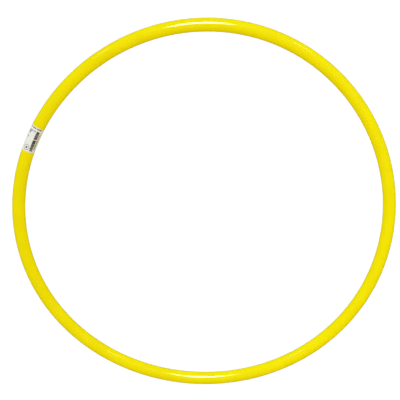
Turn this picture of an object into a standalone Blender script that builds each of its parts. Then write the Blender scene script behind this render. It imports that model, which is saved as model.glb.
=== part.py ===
"""Rhythmic hoop: a plastic tube bent into a ring, its ends joined by a stapled plug under a wrapped label.

The hoop stands upright in the XZ plane. Its axis is Y, its front faces -Y and its centre is the origin.
Angles round the hoop are counter-clockwise seen from the front, from +X. Angles round the tube's section
start at the side that faces away from the hoop's centre and turn towards the rear, +Y.
"""

import math

import bmesh
import bpy
from mathutils import Vector

MM = 0.001

# Driving dimensions.
OUTER_DIAMETER = 600 * MM
TUBE_DIAMETER = 20 * MM
WALL = 2 * MM
JOINT_ANGLE = math.radians(154.7)
LABEL_LENGTH = 41.3 * MM
LABEL_WRAP = 60 * MM
LABEL_THICKNESS = 0.2 * MM
CLEARANCE = 0.3 * MM

# A hoop bent from straight tube springs back unevenly, with three faint lobes in its plane
# and a slight saddle out of it.
LOBE_COUNT = 3
LOBE_HEIGHT = 1.6 * MM
LOBE_ANGLE = math.radians(84)
SADDLE_HEIGHT = 2.5 * MM

# The tube is faceted: straight lengths round the hoop, flats round its section.
TUBE_STATIONS = 100
TUBE_SIDES = 18

# Worked out from them. The sag is how far a straight length cuts inside the true curve.
TUBE_RADIUS = TUBE_DIAMETER / 2
BORE_RADIUS = TUBE_RADIUS - WALL
RING_RADIUS = OUTER_DIAMETER / 2 - TUBE_RADIUS
FACET_SAG = RING_RADIUS * (1 - math.cos(math.pi / TUBE_STATIONS))

# The plug: a plain middle, then barbs and a taper towards each end.
PLUG_RADIUS = BORE_RADIUS - CLEARANCE - FACET_SAG
PLUG_HALF_LENGTH = 32 * MM
PLUG_TAPER = 3 * MM
PLUG_TIP_RADIUS = 6.3 * MM
BARB_COUNT = 3
BARB_PITCH = 4 * MM
BARB_DEPTH = 0.5 * MM

# The staples lie in the plane of the hoop. Their crowns are sunk flush into the side that faces its centre.
STAPLE_FROM_JOINT = 10.5 * MM
STAPLE_CROWN = 11 * MM
STAPLE_LEG = 8 * MM
WIRE_RADIUS = 0.35 * MM
WIRE_SIDES = 8
BEND_RADIUS = 0.9 * MM
BEND_STEPS = 3

YELLOW = (0.86, 0.74, 0.002)
PLUG_GREY = (0.55, 0.56, 0.55)
STEEL = (0.62, 0.61, 0.59)
PAPER = (0.83, 0.82, 0.76)


def clear_scene():
    for obj in list(bpy.data.objects):
        bpy.data.objects.remove(obj, do_unlink=True)


def material(name, colour, roughness, metallic=0.0):
    made = bpy.data.materials.new(name)
    made.use_nodes = True
    shader = made.node_tree.nodes["Principled BSDF"]
    shader.inputs["Base Color"].default_value = (*colour, 1)
    shader.inputs["Roughness"].default_value = roughness
    shader.inputs["Metallic"].default_value = metallic
    return made


def ring_frame(angle):
    """The tube's centre at an angle round the hoop, the way out from the hoop's centre, and the way along."""
    phase = LOBE_COUNT * (angle - LOBE_ANGLE)
    radius = RING_RADIUS + LOBE_HEIGHT * math.cos(phase)
    slope = -LOBE_COUNT * LOBE_HEIGHT * math.sin(phase)
    spoke = Vector((math.cos(angle), 0, math.sin(angle)))
    across = Vector((-math.sin(angle), 0, math.cos(angle)))
    along = (slope * spoke + radius * across).normalized()
    outward = Vector((along.z, 0, -along.x))
    saddle = Vector((0, SADDLE_HEIGHT * math.sin(2 * angle), 0))
    return radius * spoke + saddle, outward, along


def section_point(angle, section_angle, radius):
    centre, outward, _ = ring_frame(angle)
    rear = Vector((0, 1, 0))
    return centre + radius * (math.cos(section_angle) * outward + math.sin(section_angle) * rear)


def section_circle(angle, radius):
    turns = [2 * math.pi * side / TUBE_SIDES for side in range(TUBE_SIDES)]
    return [section_point(angle, turn, radius) for turn in turns]


def skin(bm, loops):
    """Quads between each closed loop of vertices and the next."""
    for near, far in zip(loops, loops[1:]):
        for this in range(len(near)):
            after = (this + 1) % len(near)
            bm.faces.new((near[this], near[after], far[after], far[this]))


def finish_object(name, bm, finish):
    bmesh.ops.recalc_face_normals(bm, faces=bm.faces)
    mesh = bpy.data.meshes.new(name)
    bm.to_mesh(mesh)
    bm.free()
    mesh.shade_smooth()
    mesh.set_sharp_from_angle(angle=math.radians(40))
    if finish:
        mesh.materials.append(finish)
    obj = bpy.data.objects.new(name, mesh)
    bpy.context.scene.collection.objects.link(obj)
    return obj


def lofted(name, loops, finish=None):
    """A closed solid through loops of points, capped at both ends."""
    bm = bmesh.new()
    rings = [[bm.verts.new(point) for point in loop] for loop in loops]
    skin(bm, rings)
    bm.faces.new(rings[0])
    bm.faces.new(rings[-1])
    return finish_object(name, bm, finish)


def cut_away(obj, cutters):
    for cutter in cutters:
        cutter.hide_render = True
        cutter.display_type = "WIRE"
        boolean = obj.modifiers.new(cutter.name, "BOOLEAN")
        boolean.operation = "DIFFERENCE"
        boolean.object = cutter


def make_tube(finish):
    """The C of tube, from one side of the joint right round to the other."""
    half_gap = CLEARANCE / 2 / RING_RADIUS
    sweep = 2 * math.pi - 2 * half_gap
    angles = [JOINT_ANGLE + half_gap + sweep * step / TUBE_STATIONS for step in range(TUBE_STATIONS + 1)]
    bm = bmesh.new()
    walls = []
    for radius in (TUBE_RADIUS, BORE_RADIUS):
        rings = [[bm.verts.new(point) for point in section_circle(angle, radius)] for angle in angles]
        skin(bm, rings)
        walls.append(rings)
    outer, bore = walls
    skin(bm, [outer[0], bore[0]])
    skin(bm, [outer[-1], bore[-1]])
    return finish_object("hoop_tube", bm, finish)


def plug_profile():
    """(distance from the joint, radius) along one half of the plug, from its tip to its middle."""
    points = [(PLUG_HALF_LENGTH, PLUG_TIP_RADIUS)]
    shoulder = PLUG_HALF_LENGTH - PLUG_TAPER
    for barb in range(BARB_COUNT):
        points.append((shoulder - barb * BARB_PITCH, PLUG_RADIUS))
        points.append((shoulder - (barb + 1) * BARB_PITCH, PLUG_RADIUS - BARB_DEPTH))
    points.append((shoulder - BARB_COUNT * BARB_PITCH, PLUG_RADIUS))
    points.append((points[-1][0] / 2, PLUG_RADIUS))
    return points


def make_plug(finish):
    half = plug_profile()
    whole = [(-distance, radius) for distance, radius in half] + half[::-1]
    loops = [section_circle(JOINT_ANGLE + distance / RING_RADIUS, radius) for distance, radius in whole]
    return lofted("joint_plug", loops, finish)


def staple_path(tip_overrun):
    """(along, outward) points of the staple's wire: a leg, a bend, the crown, a bend and a leg."""
    crown_at = -(TUBE_RADIUS - WIRE_RADIUS)
    tip_at = crown_at + STAPLE_LEG + tip_overrun
    half = STAPLE_CROWN / 2 - WIRE_RADIUS
    points = [(-half, tip_at)]
    for step in range(BEND_STEPS + 1):
        turn = math.pi / 2 * step / BEND_STEPS
        along = -half + BEND_RADIUS * (1 - math.cos(turn))
        points.append((along, crown_at + BEND_RADIUS * (1 - math.sin(turn))))
    return points + [(-along, outward) for along, outward in reversed(points)]


def wire(name, place, path, radius, finish=None):
    """A round wire along a path in the hoop's plane, about the tube's centre at an angle round the hoop."""
    centre, outward, along = ring_frame(place)
    points = [centre + a * along + b * outward for a, b in path]
    loops = []
    for index, point in enumerate(points):
        before = (point - points[max(index - 1, 0)]).normalized()
        after = (points[min(index + 1, len(points) - 1)] - point).normalized()
        heading = (before + after).normalized()
        mitre = 1 / max(heading.dot(after), heading.dot(before))
        side = Vector((heading.z, 0, -heading.x)) * mitre
        loop = []
        for step in range(WIRE_SIDES):
            turn = 2 * math.pi * (step + 0.5) / WIRE_SIDES
            loop.append(point + radius * (math.cos(turn) * side + math.sin(turn) * Vector((0, 1, 0))))
        loops.append(loop)
    return lofted(name, loops, finish)


def make_staples(finish):
    """Makes both staples, and returns a cutter round each that leaves it clear of the tube and the plug."""
    cutters = []
    for name, way in (("staple_upper", -1), ("staple_lower", 1)):
        place = JOINT_ANGLE + way * STAPLE_FROM_JOINT / RING_RADIUS
        wire(name, place, staple_path(0), WIRE_RADIUS, finish)
        cutters.append(wire(name + "_room", place, staple_path(CLEARANCE), WIRE_RADIUS + CLEARANCE))
    return cutters


def make_label(finish):
    """A sheet round the tube, open along the middle of the rear, with its edges on the tube's facets."""
    inside = TUBE_RADIUS + CLEARANCE
    outside = inside + LABEL_THICKNESS
    half_wrap = LABEL_WRAP / 2 / outside
    front = -math.pi / 2
    side = 2 * math.pi / TUBE_SIDES
    first = math.ceil((front - half_wrap) / side)
    last = math.floor((front + half_wrap) / side)
    turns = [front - half_wrap] + [side * step for step in range(first, last + 1)] + [front + half_wrap]
    half_span = LABEL_LENGTH / 2 / RING_RADIUS
    loops = []
    for angle in (JOINT_ANGLE - half_span, JOINT_ANGLE, JOINT_ANGLE + half_span):
        outer = [section_point(angle, turn, outside) for turn in turns]
        inner = [section_point(angle, turn, inside) for turn in reversed(turns)]
        loops.append(outer + inner)
    return lofted("label", loops, finish)


def main():
    clear_scene()
    tube = make_tube(material("yellow_plastic", YELLOW, 0.22))
    plug = make_plug(material("grey_plastic", PLUG_GREY, 0.5))
    cutters = make_staples(material("steel_wire", STEEL, 0.3, 1.0))
    cut_away(tube, cutters)
    cut_away(plug, cutters)
    make_label(material("label_paper", PAPER, 0.6))


main()
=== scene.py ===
"""Rhythmic hoop, the looks: a smooth glossy tube, a wrapped label with generic print, and studio light.

The frame is the CAD's: metres, the hoop upright in the XZ plane, its front facing -Y, its centre at the
origin. Angles round the hoop are counter-clockwise from +X seen from the front. Angles round the tube's
section start at the side that faces away from the centre and turn towards the rear, +Y.
"""

import math
import random

import bmesh
import bpy
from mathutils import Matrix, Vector

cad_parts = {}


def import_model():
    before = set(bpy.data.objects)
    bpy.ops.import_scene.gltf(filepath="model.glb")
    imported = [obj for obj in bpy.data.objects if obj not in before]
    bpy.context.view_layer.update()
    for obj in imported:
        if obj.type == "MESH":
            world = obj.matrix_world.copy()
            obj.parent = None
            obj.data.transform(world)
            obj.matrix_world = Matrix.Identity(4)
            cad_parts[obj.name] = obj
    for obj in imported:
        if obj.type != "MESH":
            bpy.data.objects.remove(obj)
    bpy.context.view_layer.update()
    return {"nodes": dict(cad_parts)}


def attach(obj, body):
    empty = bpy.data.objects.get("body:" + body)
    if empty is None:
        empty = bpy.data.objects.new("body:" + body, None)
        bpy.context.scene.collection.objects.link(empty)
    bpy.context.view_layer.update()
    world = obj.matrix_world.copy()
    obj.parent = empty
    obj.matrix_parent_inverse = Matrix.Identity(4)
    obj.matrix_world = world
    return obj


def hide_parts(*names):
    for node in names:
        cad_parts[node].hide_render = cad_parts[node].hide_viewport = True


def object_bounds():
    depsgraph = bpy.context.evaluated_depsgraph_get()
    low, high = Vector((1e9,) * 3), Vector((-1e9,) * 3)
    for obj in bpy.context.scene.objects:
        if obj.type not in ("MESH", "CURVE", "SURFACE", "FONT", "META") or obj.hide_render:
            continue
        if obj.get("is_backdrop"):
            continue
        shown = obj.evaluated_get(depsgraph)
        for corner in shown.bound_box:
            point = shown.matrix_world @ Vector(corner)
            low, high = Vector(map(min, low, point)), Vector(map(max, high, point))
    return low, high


MM = 0.001
REAR = Vector((0, 1, 0))
FRONT_TURN = -math.pi / 2

# The hoop, as in the CAD.
OUTER_DIAMETER = 600 * MM
TUBE_RADIUS = 10 * MM
WALL = 2 * MM
RING_RADIUS = OUTER_DIAMETER / 2 - TUBE_RADIUS
JOINT_ANGLE = math.radians(154.7)
JOINT_GAP = 0.3 * MM
LOBE_COUNT = 3
LOBE_HEIGHT = 1.6 * MM
LOBE_ANGLE = math.radians(84)
SADDLE_HEIGHT = 2.5 * MM

# The smooth tube's mesh.
TUBE_STATIONS = 480
TUBE_SIDES = 48
END_CHAMFER = 0.25 * MM
SHARP_ANGLE = math.radians(35)
STAPLE_ROOM = 0.3 * MM
MERGE_DISTANCE = 0.001 * MM

# The label, flat: its length runs along the tube and its wrap round it.
LABEL_LENGTH = 41.3 * MM
LABEL_WRAP = 60 * MM
LABEL_THICKNESS = 0.12 * MM
LABEL_CORNER = 2 * MM
LABEL_GLUE = 0.05 * MM
PAPER_TOP = TUBE_RADIUS + LABEL_GLUE + LABEL_THICKNESS
INK_THICKNESS = 0.02 * MM
GRID_STEP = 0.6 * MM

# Both long edges stand a little off the tube. One corner stands off further. The shares are the parts of
# half the wrap and half the length over which they rise.
EDGE_SHARE = 0.1
EDGE_LIFT = 0.1 * MM
CORNER_SHARE = 0.5
CORNER_LIFT = 0.45 * MM

# The print, in millimetres. Places are from the label's middle: along the tube, and round it. A row of
# dashes has a start, an end and two sides. A turned row runs round the tube, and the others along it.
BAR_SEED = 1711
BAR_GROUPS = ((-14.6, -1.4), (-0.2, 18.9))
BAR_SIDES = (-6.8, -1.9)
BAR_WIDTHS = (0.7, 1.1, 1.6, 2.2)
BAR_GAPS = (0.15, 0.25, 0.4)
BAR_LEAST = 0.4
DASH_SEED = 11
DASH_ROWS = ((-11, 15.5, -10, -8), (-12.6, -7.8, 6.6, 9.9), (-4.2, 0, 7.8, 9.6), (-19.3, -17.5, -8, -1))
TURNED_DASH_ROWS = ((-0.4, 11, -19.4, -17.6), (-0.3, 12, -14.4, -12.9))
DASH_WIDTHS = (0.5, 1.0)
DASH_GAPS = (0.35, 0.35, 0.35, 1.3)
MARK_CENTRE = (14.1, 3.8)
MARK_RADIUS = 4.4
MARK_WIDTH = 0.5
MARK_DOT_RADIUS = 1.6
MARK_DOT_WIDTH = 1.4
MARK_STEPS = 48

# The camera.
CAMERA_PLACE = (-0.0378, -1.243, 0.4124)
CAMERA_AIM = (-0.0083, 0, 0.0228)
CAMERA_LENS = 75.27
SENSOR_WIDTH = 36

# The studio. The key's glow falls off from its middle as a bell curve, made of stacked discs.
KEY_PLACE = (0.055, -1.47, 1.39)
KEY_WIDTH = 0.153
KEY_HEIGHT = 0.2
KEY_DISCS = 6
KEY_RADIANCE = 106
SIDE_LAMPS = {"side_right": (2.37, -1.77, 2.69), "side_left": (-2.28, -1.8, 2.76)}
SIDE_LAMP_SIZE = 0.5
SIDE_RADIANCE = 5
FILL_PLACE = (0.6, -0.9, 0.3)
FILL_SIZE = 0.9
FILL_RADIANCE = 1.14
FILL_COLOUR = (0.83, 1, 1)
BRIGHT_WAY = (-0.4, -0.22, 0.89)
STUDIO_HIGH = (0.914, 0.925, 0.925, 1)
STUDIO_LOW = (0.536, 0.367, 0.30, 1)
STUDIO_STRENGTH = 1.4
FLOOR_HALF_SIZE = 40
FLOOR_GLOW = 0.95

# Most of a noise texture's values lie between these.
NOISE_RANGE = (0.3, 0.7)


# ---------------------------------------------------------------- geometry


def ring_frame(angle):
    """At an angle round the hoop: the tube's centre, the way out from the hoop's centre, the way along."""
    phase = LOBE_COUNT * (angle - LOBE_ANGLE)
    radius = RING_RADIUS + LOBE_HEIGHT * math.cos(phase)
    slope = -LOBE_COUNT * LOBE_HEIGHT * math.sin(phase)
    spoke = Vector((math.cos(angle), 0, math.sin(angle)))
    across = Vector((-math.sin(angle), 0, math.cos(angle)))
    along = (slope * spoke + radius * across).normalized()
    outward = Vector((along.z, 0, -along.x))
    return radius * spoke + SADDLE_HEIGHT * math.sin(2 * angle) * REAR, outward, along


def section_point(angle, turn, radius):
    centre, outward, _ = ring_frame(angle)
    return centre + radius * (math.cos(turn) * outward + math.sin(turn) * REAR)


def label_point(along, round_tube, height):
    """A point over the label: distances from the label's middle, and the height from the tube's centre.

    Along grows away from the top of the hoop, and round the tube grows towards the hoop's outside.
    """
    angle = JOINT_ANGLE + along / RING_RADIUS
    return section_point(angle, FRONT_TURN + round_tube / PAPER_TOP, height)


def new_object(name, bm, finish):
    bmesh.ops.recalc_face_normals(bm, faces=bm.faces)
    mesh = bpy.data.meshes.new(name)
    bm.to_mesh(mesh)
    bm.free()
    mesh.shade_smooth()
    mesh.set_sharp_from_angle(angle=SHARP_ANGLE)
    mesh.materials.append(finish)
    obj = bpy.data.objects.new(name, mesh)
    bpy.context.scene.collection.objects.link(obj)
    return obj


def skin(bm, loops):
    """Quads between each closed loop of vertices and the next."""
    for near, far in zip(loops, loops[1:]):
        for this in range(len(near)):
            after = (this + 1) % len(near)
            bm.faces.new((near[this], near[after], far[after], far[this]))


def steps(low, high, step):
    """Evenly spaced numbers from low to high, at most a step apart."""
    count = max(1, math.ceil((high - low) / step))
    return [low + (high - low) * index / count for index in range(count + 1)]


def slab(bm, grid, low, high, closed=False):
    """A thin solid over a grid of flat label places, between two heights.

    Closed joins its first row to its last.
    """
    layers = []
    for height in (low, high):
        points = [[label_point(a, b, height(a, b)) for a, b in row] for row in grid]
        layers.append([[bm.verts.new(point) for point in row] for row in points])
    bottom, top = layers
    rows = len(grid)
    columns = len(grid[0])
    for i in range(rows if closed else rows - 1):
        j = (i + 1) % rows
        for k in range(columns - 1):
            bm.faces.new((top[i][k], top[j][k], top[j][k + 1], top[i][k + 1]))
            bm.faces.new((bottom[i][k], bottom[i][k + 1], bottom[j][k + 1], bottom[j][k]))
        for k in (0, columns - 1):
            bm.faces.new((bottom[i][k], bottom[j][k], top[j][k], top[i][k]))
    if not closed:
        for i in (0, rows - 1):
            for k in range(columns - 1):
                bm.faces.new((bottom[i][k], top[i][k], top[i][k + 1], bottom[i][k + 1]))


def make_tube(finish):
    """The C of tube with its bore and its cut ends.

    The section attribute is the place round the section and the angle round the hoop. The marks that run
    along the tube in its material are drawn from it.
    """
    half_gap = JOINT_GAP / 2 / RING_RADIUS
    chamfer = END_CHAMFER / RING_RADIUS
    first = JOINT_ANGLE + half_gap
    last = JOINT_ANGLE + 2 * math.pi - half_gap
    inner = steps(first + chamfer, last - chamfer, 2 * math.pi / TUBE_STATIONS)
    bm = bmesh.new()
    section = bm.verts.layers.float_vector.new("section")
    walls = []
    for radius, chamfered in ((TUBE_RADIUS, END_CHAMFER), (TUBE_RADIUS - WALL, 0)):
        loops = []
        for angle in [first] + inner + [last]:
            reach = radius - chamfered if angle in (first, last) else radius
            loop = []
            for side in range(TUBE_SIDES):
                turn = 2 * math.pi * side / TUBE_SIDES
                vert = bm.verts.new(section_point(angle, turn, reach))
                vert[section] = Vector((math.cos(turn), math.sin(turn), angle))
                loop.append(vert)
            loops.append(loop)
        skin(bm, loops)
        walls.append(loops)
    outer, bore = walls
    skin(bm, [outer[0], bore[0]])
    skin(bm, [outer[-1], bore[-1]])
    return new_object("smooth_tube", bm, finish)


def cut_staple_room(tube, staples):
    """Cuts holes and grooves in the tube that leave the staples clear of it."""
    cutters = []
    for staple in staples:
        bm = bmesh.new()
        bm.from_mesh(staple.data)
        bm.transform(staple.matrix_world)
        bmesh.ops.remove_doubles(bm, verts=bm.verts, dist=MERGE_DISTANCE)
        bm.normal_update()
        for vert in bm.verts:
            vert.co += STAPLE_ROOM * vert.normal
        cutter = new_object(staple.name + "_room", bm, tube.data.materials[0])
        boolean = tube.modifiers.new(cutter.name, "BOOLEAN")
        boolean.operation = "DIFFERENCE"
        boolean.object = cutter
        cutters.append(cutter)
    drilled = bpy.data.meshes.new_from_object(tube.evaluated_get(bpy.context.evaluated_depsgraph_get()))
    tube.modifiers.clear()
    tube.data = drilled
    for cutter in cutters:
        bpy.data.objects.remove(cutter)


def label_half_wrap(along):
    """Half the label's size round the tube at a place along it, less at its rounded corners."""
    past = max(0, abs(along) - (LABEL_LENGTH / 2 - LABEL_CORNER))
    return LABEL_WRAP / 2 - LABEL_CORNER + math.sqrt(max(0, LABEL_CORNER**2 - past**2))


def label_lift(along, round_tube):
    """How far the label stands off the tube: a little at its long edges, and more at one rear corner."""
    edge = max(0, abs(round_tube) / (LABEL_WRAP / 2) - (1 - EDGE_SHARE)) / EDGE_SHARE
    corner = max(0, along / (LABEL_LENGTH / 2) - (1 - CORNER_SHARE)) / CORNER_SHARE
    return EDGE_LIFT * edge + CORNER_LIFT * edge * edge * corner * (round_tube > 0)


def make_label_sheet(finish):
    rows = steps(-LABEL_LENGTH / 2, LABEL_LENGTH / 2, GRID_STEP)
    shares = steps(-1, 1, GRID_STEP / (LABEL_WRAP / 2))
    grid = [[(along, share * label_half_wrap(along)) for share in shares] for along in rows]
    bm = bmesh.new()
    base = TUBE_RADIUS + LABEL_GLUE
    slab(bm, grid, lambda a, b: base + label_lift(a, b), lambda a, b: PAPER_TOP + label_lift(a, b))
    return new_object("label_sheet", bm, finish)


# ---------------------------------------------------------------- print on the label


def ink_low(_along, _round_tube):
    return PAPER_TOP - INK_THICKNESS / 2


def ink_high(_along, _round_tube):
    return PAPER_TOP + INK_THICKNESS


def in_mm(numbers):
    return [number * MM for number in numbers]


def ink_box(bm, along, round_tube):
    """A printed rectangle, from its limits along and round the tube."""
    grid = [[(a, b) for b in steps(*round_tube, GRID_STEP)] for a in steps(*along, GRID_STEP)]
    slab(bm, grid, ink_low, ink_high)


def ink_ring(bm, centre, radius, width):
    """A printed ring, from its outer radius and the width of its line."""
    reaches = steps(radius - width, radius, GRID_STEP)
    grid = []
    for step in range(MARK_STEPS):
        turn = 2 * math.pi * step / MARK_STEPS
        grid.append([(centre[0] + r * math.cos(turn), centre[1] + r * math.sin(turn)) for r in reaches])
    slab(bm, grid, ink_low, ink_high, closed=True)


def make_bars(finish):
    """A strip of plain bars of mixed widths in two groups. They stand for a code and hold none."""
    bm = bmesh.new()
    draw = random.Random(BAR_SEED)
    sides = in_mm(BAR_SIDES)
    for group in BAR_GROUPS:
        at, end = in_mm(group)
        while at < end - BAR_LEAST * MM:
            width = draw.choice(BAR_WIDTHS) * MM
            ink_box(bm, (at, min(at + width, end)), sides)
            at += width + draw.choice(BAR_GAPS) * MM
    return new_object("label_bars", bm, finish)


def dashes(bm, draw, start, end, low, high, turned=False):
    """A row of small blocks with word-like breaks, greeked so that nothing can be read.

    It runs along the tube from start to end, or round it if turned.
    """
    at = start
    while at < end:
        width = min(draw.uniform(*DASH_WIDTHS) * MM, end - at)
        spans = ((at, at + width), (low, high))
        ink_box(bm, *(reversed(spans) if turned else spans))
        at += width + draw.choice(DASH_GAPS) * MM


def make_dashes(finish):
    """Rows of greeked print: beside the bars, towards the outer edge, and across the upper end."""
    bm = bmesh.new()
    draw = random.Random(DASH_SEED)
    for row in DASH_ROWS:
        dashes(bm, draw, *in_mm(row))
    for row in TURNED_DASH_ROWS:
        dashes(bm, draw, *in_mm(row), turned=True)
    return new_object("label_dashes", bm, finish)


def make_ring_mark(finish):
    """A plain ring with a dot, where labels carry a round mark."""
    bm = bmesh.new()
    centre = in_mm(MARK_CENTRE)
    ink_ring(bm, centre, MARK_RADIUS * MM, MARK_WIDTH * MM)
    ink_ring(bm, centre, MARK_DOT_RADIUS * MM, MARK_DOT_WIDTH * MM)
    return new_object("label_ring_mark", bm, finish)


# ---------------------------------------------------------------- materials


class Nodes:
    """A short way to write the node tree of a material or a world."""

    def __init__(self, owner):
        owner.use_nodes = True
        self.owner = owner
        self.tree = owner.node_tree

    def add(self, kind, inputs=None, **settings):
        node = self.tree.nodes.new("ShaderNode" + kind)
        for key, value in settings.items():
            setattr(node, key, value)
        for key, value in (inputs or {}).items():
            self.set(node.inputs[key], value)
        return node

    def set(self, socket, value):
        if isinstance(value, bpy.types.NodeSocket):
            self.tree.links.new(value, socket)
        else:
            socket.default_value = value

    def principled(self, **inputs):
        shader = self.tree.nodes["Principled BSDF"]
        for key, value in inputs.items():
            self.set(shader.inputs[key.replace("_", " ").title().replace("Ior", "IOR")], value)

    def noise(self, vector, scale, detail, roughness=0.5):
        inputs = {"Vector": vector, "Scale": scale, "Detail": detail, "Roughness": roughness}
        return self.add("TexNoise", inputs).outputs["Fac"]

    def stretch(self, vector, scale):
        return self.add("Mapping", {"Vector": vector, "Scale": scale}).outputs["Vector"]

    def between(self, factor, limits, results=(0.0, 1.0)):
        """Takes one range of numbers to another, and keeps what lies outside it at the ends."""
        inputs = {"Value": factor, "From Min": limits[0], "From Max": limits[1]}
        inputs.update({"To Min": results[0], "To Max": results[1]})
        return self.add("MapRange", inputs).outputs["Result"]

    def mix(self, factor, first, second):
        node = self.add("Mix", data_type="RGBA")
        self.set(node.inputs[0], factor)
        self.set(node.inputs[6], first)
        self.set(node.inputs[7], second)
        return node.outputs[2]

    def bump(self, height, distance, normal=None):
        node = self.add("Bump", {"Height": height, "Distance": distance})
        if normal:
            self.set(node.inputs["Normal"], normal)
        return node.outputs["Normal"]


def yellow_plastic():
    """Glossy extruded polyethylene: drawing lines along the tube, faint mottling, and a few scuffs."""
    n = Nodes(bpy.data.materials.new("yellow_plastic"))
    place = n.add("TexCoord").outputs["Object"]
    section = n.add("Attribute", attribute_name="section").outputs["Vector"]
    lines = n.noise(n.stretch(section, (9, 9, 3)), scale=4.0, detail=5.0, roughness=0.6)
    mottle = n.noise(place, scale=34.0, detail=3.0)
    scuffs = n.noise(n.stretch(section, (6, 6, 90)), scale=5.0, detail=8.0, roughness=0.75)
    grain = n.noise(place, scale=900.0, detail=2.0)

    deep = (0.761, 0.683, 0.0, 1)
    clear = (0.795, 0.719, 0.0, 1)
    scuffed = (0.82, 0.76, 0.03, 1)
    scuff_range = (0.66, 0.74)
    tone = n.mix(n.between(mottle, (0.35, 0.65)), deep, clear)
    tone = n.mix(n.between(lines, NOISE_RANGE, (0.0, 0.35)), tone, clear)
    tone = n.mix(n.between(scuffs, scuff_range, (0.0, 0.12)), tone, scuffed)
    polish = n.between(lines, NOISE_RANGE, (0.07, 0.11))
    scuff_blur = n.between(scuffs, scuff_range, (0.0, 0.18))
    rough = n.add("Math", {0: polish, 1: scuff_blur}, operation="ADD")
    drawn = n.bump(lines, distance=0.002 * MM)
    n.principled(
        base_color=tone,
        roughness=rough.outputs["Value"],
        specular_ior_level=0.5,
        normal=n.bump(grain, distance=0.001 * MM, normal=drawn),
    )
    return n.owner


def label_paper():
    """Matt coated paper: fine fibres and a slightly uneven tint, with painted shade and painted yellow
    bounce light towards the hoop's centre.
    """
    n = Nodes(bpy.data.materials.new("label_paper"))
    place = n.add("TexCoord").outputs["Object"]
    fibres = n.noise(n.stretch(place, (1, 1, 3)), scale=1400.0, detail=6.0, roughness=0.7)
    clouds = n.noise(place, scale=120.0, detail=2.0)
    reach = n.add("VectorMath", {0: place}, operation="LENGTH").outputs["Value"]

    grey = (0.70, 0.732, 0.685, 1)
    pale = (0.745, 0.783, 0.752, 1)
    fibre = (0.63, 0.65, 0.59, 1)
    painted_inner_shade = (0.648, 0.689, 0.511, 1)
    tone = n.mix(n.between(clouds, NOISE_RANGE), grey, pale)
    tone = n.mix(n.between(fibres, (0.55, 0.75), (0.0, 0.3)), tone, fibre)
    # Painted shade: the paper grows darker and yellower towards the hoop's centre. This stands in for the
    # shade there and the yellow light the tube throws onto the label's inner side.
    tone = n.mix(n.between(reach, (RING_RADIUS - 0.5 * MM, RING_RADIUS - 9 * MM)), tone, painted_inner_shade)
    n.principled(
        base_color=tone,
        roughness=n.between(fibres, NOISE_RANGE, (0.5, 0.65)),
        specular_ior_level=0.4,
        normal=n.bump(fibres, distance=0.01 * MM),
    )
    return n.owner


def label_ink():
    """Thermal print: warm black, slightly uneven."""
    n = Nodes(bpy.data.materials.new("label_ink"))
    place = n.add("TexCoord").outputs["Object"]
    speckle = n.noise(place, scale=2500.0, detail=3.0)
    black = (0.010, 0.009, 0.008, 1)
    worn = (0.07, 0.065, 0.055, 1)
    tone = n.mix(n.between(speckle, (0.55, 0.75)), black, worn)
    n.principled(
        base_color=tone,
        roughness=n.between(speckle, NOISE_RANGE, (0.4, 0.55)),
        normal=n.bump(speckle, distance=0.003 * MM),
    )
    return n.owner


def grey_plastic():
    """The plug's moulded plastic: a fine spark texture and faint flow marks."""
    n = Nodes(bpy.data.materials.new("grey_plastic"))
    place = n.add("TexCoord").outputs["Object"]
    flow = n.noise(n.stretch(place, (1, 4, 1)), scale=60.0, detail=3.0)
    spark = n.noise(place, scale=1800.0, detail=2.0)
    dark = (0.50, 0.51, 0.50, 1)
    pale = (0.58, 0.59, 0.58, 1)
    tone = n.mix(n.between(flow, NOISE_RANGE), dark, pale)
    n.principled(
        base_color=tone,
        roughness=n.between(spark, NOISE_RANGE, (0.42, 0.58)),
        normal=n.bump(spark, distance=0.01 * MM),
    )
    return n.owner


def steel_wire():
    """Bright drawn wire with fine drawing marks."""
    n = Nodes(bpy.data.materials.new("steel_wire"))
    place = n.add("TexCoord").outputs["Object"]
    drawn = n.noise(n.stretch(place, (1, 12, 1)), scale=700.0, detail=3.0)
    dark = (0.56, 0.55, 0.53, 1)
    bright = (0.68, 0.67, 0.65, 1)
    tone = n.mix(drawn, dark, bright)
    n.principled(
        base_color=tone,
        metallic=1.0,
        roughness=n.between(drawn, NOISE_RANGE, (0.22, 0.38)),
        normal=n.bump(drawn, distance=0.005 * MM),
    )
    return n.owner


def floor_paint():
    """Matt white, lit from within so that it stays white under the hoop, with hardly any shadow."""
    n = Nodes(bpy.data.materials.new("floor_white"))
    place = n.add("TexCoord").outputs["Object"]
    dark = (0.09, 0.09, 0.09, 1)
    pale = (0.11, 0.11, 0.11, 1)
    n.principled(
        base_color=n.mix(n.noise(place, scale=3.0, detail=2.0), dark, pale),
        roughness=0.9,
        specular_ior_level=0.0,
        emission_color=(1, 1, 1, 1),
        emission_strength=FLOOR_GLOW,
    )
    return n.owner


# ---------------------------------------------------------------- stage


def make_floor(level):
    bm = bmesh.new()
    bmesh.ops.create_grid(bm, x_segments=1, y_segments=1, size=FLOOR_HALF_SIZE)
    floor = new_object("floor", bm, floor_paint())
    floor.location.z = level
    floor.visible_diffuse = False
    floor.visible_glossy = False
    floor.visible_shadow = False
    floor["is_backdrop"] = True


def aim(obj, place, target):
    obj.location = place
    obj.rotation_euler = (Vector(target) - Vector(place)).to_track_quat("-Z", "Y").to_euler()


def add_lamp(name, place, size, radiance):
    """An elliptical lamp aimed at the hoop's centre, from its width and height."""
    data = bpy.data.lights.new(name, "AREA")
    data.shape = "ELLIPSE"
    data.size, data.size_y = size
    area = math.pi / 4 * size[0] * size[1]
    data.energy = radiance * math.pi * area
    lamp = bpy.data.objects.new(name, data)
    bpy.context.scene.collection.objects.link(lamp)
    aim(lamp, place, (0, 0, 0))
    return lamp


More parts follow.
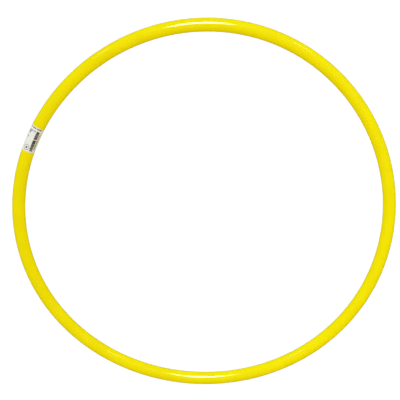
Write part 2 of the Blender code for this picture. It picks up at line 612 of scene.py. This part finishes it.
def make_lights():
    """A soft key above the front and a small lamp far off on each side, which show only as reflections.

    The world and a weak fill light the surfaces.
    """
    for disc in range(KEY_DISCS):
        level = (disc + 0.5) / KEY_DISCS
        spread = 2 * math.sqrt(-2 * math.log(level))
        size = (spread * KEY_WIDTH, spread * KEY_HEIGHT)
        add_lamp(f"key_{disc}", KEY_PLACE, size, KEY_RADIANCE / KEY_DISCS).visible_diffuse = False
    for name, place in SIDE_LAMPS.items():
        add_lamp(name, place, (SIDE_LAMP_SIZE, SIDE_LAMP_SIZE), SIDE_RADIANCE).visible_diffuse = False
    fill = add_lamp("fill", FILL_PLACE, (FILL_SIZE, FILL_SIZE), FILL_RADIANCE)
    fill.data.color = FILL_COLOUR
    fill.visible_glossy = False


def make_world():
    """A pale studio, brightest above the left, dim and warm below the right. The camera sees it white."""
    n = Nodes(bpy.data.worlds.new("studio"))
    way = n.add("TexCoord").outputs["Generated"]
    turned = n.add("VectorMath", {0: way, 1: BRIGHT_WAY}, operation="DOT_PRODUCT").outputs["Value"]
    shade = n.mix(n.between(turned, (-1.0, 1.0)), STUDIO_LOW, STUDIO_HIGH)
    seen = n.add("LightPath").outputs["Is Camera Ray"]
    background = n.tree.nodes["Background"]
    white = (1 / STUDIO_STRENGTH, 1 / STUDIO_STRENGTH, 1 / STUDIO_STRENGTH, 1)
    n.set(background.inputs["Color"], n.mix(seen, shade, white))
    background.inputs["Strength"].default_value = STUDIO_STRENGTH
    n.owner.cycles_visibility.glossy = False
    bpy.context.scene.world = n.owner


def make_camera():
    data = bpy.data.cameras.new("camera")
    data.sensor_width = SENSOR_WIDTH
    data.lens = CAMERA_LENS
    camera = bpy.data.objects.new("camera", data)
    bpy.context.scene.collection.objects.link(camera)
    aim(camera, CAMERA_PLACE, CAMERA_AIM)
    bpy.context.scene.camera = camera
    bpy.context.scene.view_settings.view_transform = "Standard"


# ---------------------------------------------------------------- the scene


def stand_in(piece, node):
    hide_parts(node)
    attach(piece, "root")


def dress_hidden_pieces(frame):
    plug = grey_plastic()
    steel = steel_wire()
    for node, finish in (("joint_plug", plug), ("staple_upper", steel), ("staple_lower", steel)):
        frame["nodes"][node].material_slots[0].material = finish


def main():
    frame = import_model()
    make_camera()
    tube = make_tube(yellow_plastic())
    cut_staple_room(tube, [frame["nodes"][node] for node in ("staple_upper", "staple_lower")])
    stand_in(tube, "hoop_tube")
    stand_in(make_label_sheet(label_paper()), "label")
    ink = label_ink()
    for make in (make_bars, make_dashes, make_ring_mark):
        stand_in(make(ink), "label")
    dress_hidden_pieces(frame)
    make_floor(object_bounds()[0].z)
    make_lights()
    make_world()


main()
